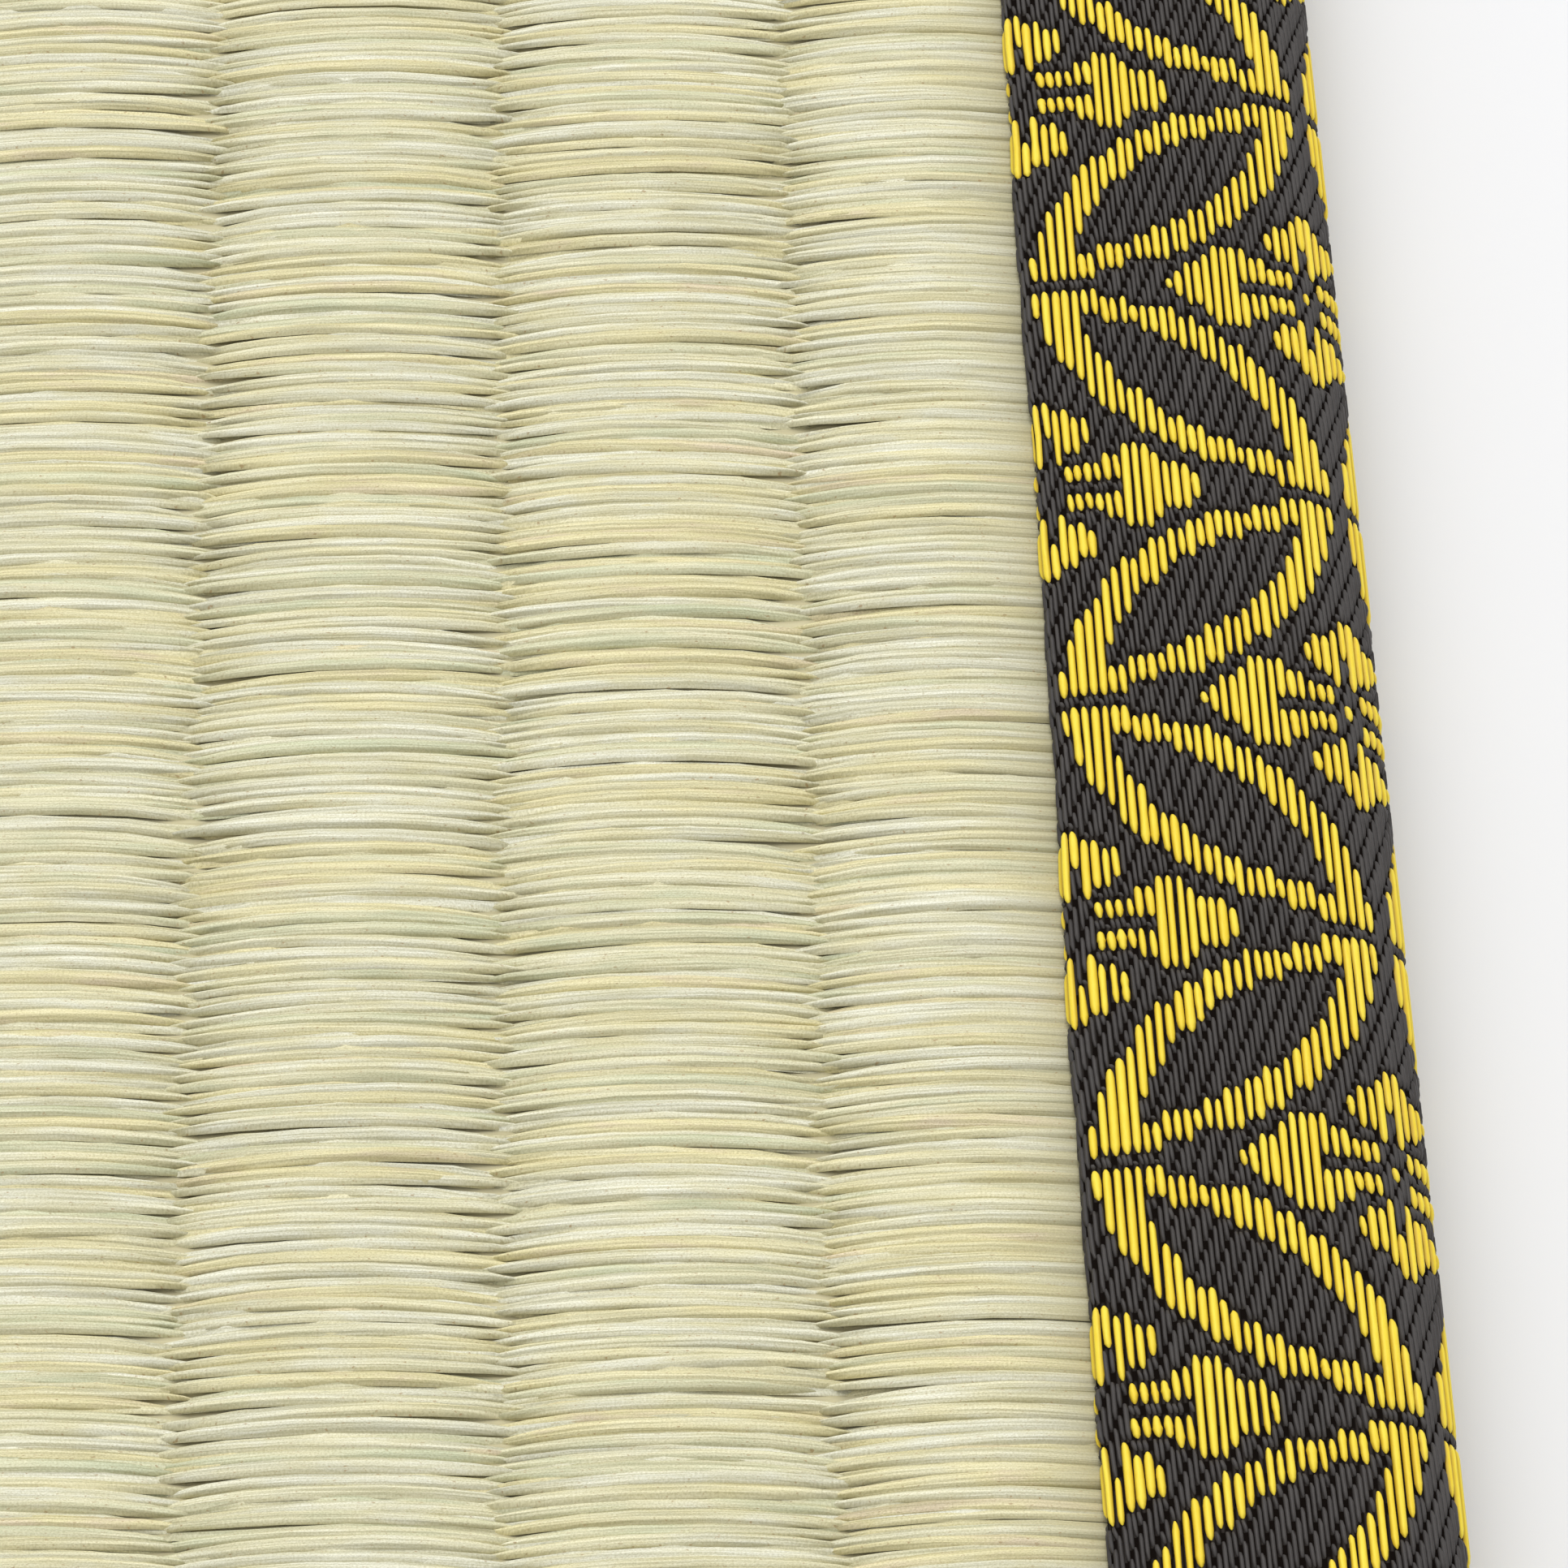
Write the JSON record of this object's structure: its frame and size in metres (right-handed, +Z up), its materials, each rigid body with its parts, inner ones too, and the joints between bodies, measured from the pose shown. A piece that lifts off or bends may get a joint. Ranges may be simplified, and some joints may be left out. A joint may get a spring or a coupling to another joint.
{
  "type": "tatami mat",
  "caption": "Thin square tatami mat: a woven rush facing in rounded bands, with patterned cloth binding folded over both long sides.",
  "frame": {"origin": "middle of the underside", "axes": "+X across the bands towards the right binding, +Y along the bindings, +Z up"},
  "size_m": [0.82, 0.82, 0.0154],
  "materials": {
    "rush": "dry woven rush with a faint waxy sheen",
    "binding_cloth": "woven cloth, black ground with a raised yellow circle lattice"
  },
  "bodies": {
    "root": {"rush_mat": "rush", "binding_right": "binding_cloth", "binding_left": "binding_cloth"}
  },
  "joints": []
}
